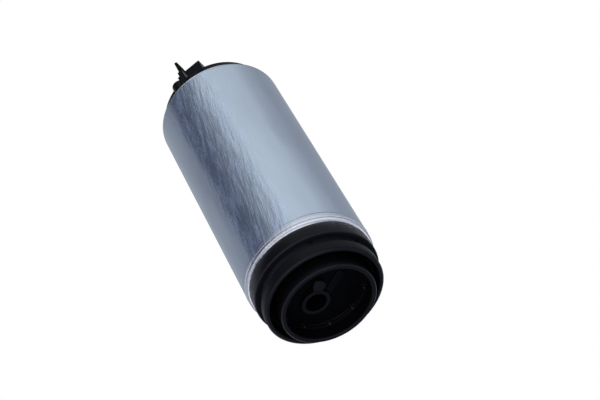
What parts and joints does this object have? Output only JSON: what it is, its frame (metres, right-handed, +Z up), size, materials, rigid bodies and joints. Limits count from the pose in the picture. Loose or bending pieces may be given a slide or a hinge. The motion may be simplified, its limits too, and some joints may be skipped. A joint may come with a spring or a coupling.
{
  "type": "fuel pump",
  "caption": "Cylindrical electric in-tank fuel pump: rolled metal tube, cupped black inlet end with rubber ring, outlet cap with hose nozzle, blade terminals and dividing wall.",
  "frame": {"origin": "centre of the inlet cup's rim face, on which the pump stands", "axes": "+Z up the pump's axis from the inlet to the outlet, -Y towards the terminals, +X to the right of them seen from the terminal side"},
  "size_m": [0.0432, 0.0432, 0.1174],
  "materials": {
    "zinc_steel": "satin",
    "black_plastic": "satin",
    "black_rubber": "matte",
    "tinned_brass": "satin",
    "cast_alloy": "satin",
    "sintered_steel": "satin",
    "hard_steel": "polished",
    "bronze": "satin",
    "ferrite": "matte",
    "spring_steel": "satin",
    "copper": "satin",
    "white_plastic": "satin",
    "carbon": "matte"
  },
  "bodies": {
    "housing": {"housing_tube": "zinc_steel", "inlet_cover": "black_plastic", "rubber_mount_ring": "black_rubber", "inlet_cover_o_ring": "black_rubber", "pump_o_ring": "black_rubber", "outlet_cover_o_ring": "black_rubber", "pump_inlet_plate": "cast_alloy", "eccentric_ring": "sintered_steel", "pump_outlet_plate": "cast_alloy", "plate_screws": "hard_steel", "dowel_pins": "hard_steel", "thrust_button": "hard_steel", "lower_bearing": "bronze", "upper_bearing": "bronze", "flux_ring": "zinc_steel", "magnet_a": "ferrite", "magnet_b": "ferrite", "magnet_clips": "spring_steel", "brush_carrier": "black_plastic", "brush_spring_a": "spring_steel", "brush_spring_b": "spring_steel", "brush_retainer_a": "tinned_brass", "brush_retainer_b": "tinned_brass", "brush_lead_a": "copper", "brush_lead_b": "copper", "choke_core_a": "ferrite", "choke_core_b": "ferrite", "choke_coil_a": "copper", "choke_coil_b": "copper", "outlet_cover": "black_plastic", "terminal_blade_a": "tinned_brass", "terminal_blade_b": "tinned_brass", "check_valve_seat": "white_plastic", "check_valve_spring": "spring_steel", "relief_valve_seat": "tinned_brass", "relief_valve_spring": "spring_steel", "relief_valve_cap": "white_plastic"},
    "armature": {"shaft": "hard_steel", "lamination_stack": "sintered_steel", "lower_insulator": "white_plastic", "upper_insulator": "white_plastic", "armature_winding": "copper", "commutator_hub": "black_plastic", "commutator_bars": "copper", "lower_thrust_washer": "white_plastic", "upper_thrust_washer": "white_plastic", "drive_coupling": "white_plastic", "inner_gerotor": "sintered_steel"},
    "outer_gerotor": {"outer_gerotor": "sintered_steel"},
    "brush_a": {"brush_a": "carbon"},
    "brush_b": {"brush_b": "carbon"},
    "check_poppet": {"check_valve_poppet": "white_plastic", "check_valve_seal": "black_rubber"},
    "relief_ball": {"relief_valve_ball": "hard_steel"}
  },
  "joints": [
    {"name": "armature_spin", "type": "hinge", "parent": "housing", "child": "armature", "pos_m": [0, 0, 0.056], "axis": [0, 0, 1], "continuous": true},
    {"name": "outer_gerotor_spin", "type": "hinge", "parent": "housing", "child": "outer_gerotor", "pos_m": [-0.001, 0, 0.02585], "axis": [0, 0, 1], "continuous": true},
    {"name": "brush_a_slide", "type": "slide", "parent": "housing", "child": "brush_a", "axis": [1, 0, 0], "range_m": [0, 0.002], "stiffness_N_per_m": 250, "springref_m": -0.005, "deforming": ["brush_spring_a"]},
    {"name": "brush_b_slide", "type": "slide", "parent": "housing", "child": "brush_b", "axis": [-1, 0, 0], "range_m": [0, 0.002], "stiffness_N_per_m": 250, "springref_m": -0.005, "deforming": ["brush_spring_b"]},
    {"name": "check_valve_lift", "type": "slide", "parent": "housing", "child": "check_poppet", "axis": [0, 0, 1], "range_m": [0, 0.0018], "stiffness_N_per_m": 60, "springref_m": -0.004, "deforming": ["check_valve_spring"]},
    {"name": "relief_ball_lift", "type": "slide", "parent": "housing", "child": "relief_ball", "axis": [0, 0, 1], "range_m": [0, 0.001], "stiffness_N_per_m": 400, "springref_m": -0.004, "deforming": ["relief_valve_spring"]}
  ],
  "couplings": [
    {"joint": "outer_gerotor_spin", "follows": "armature_spin", "ratio": 0.85714}
  ]
}
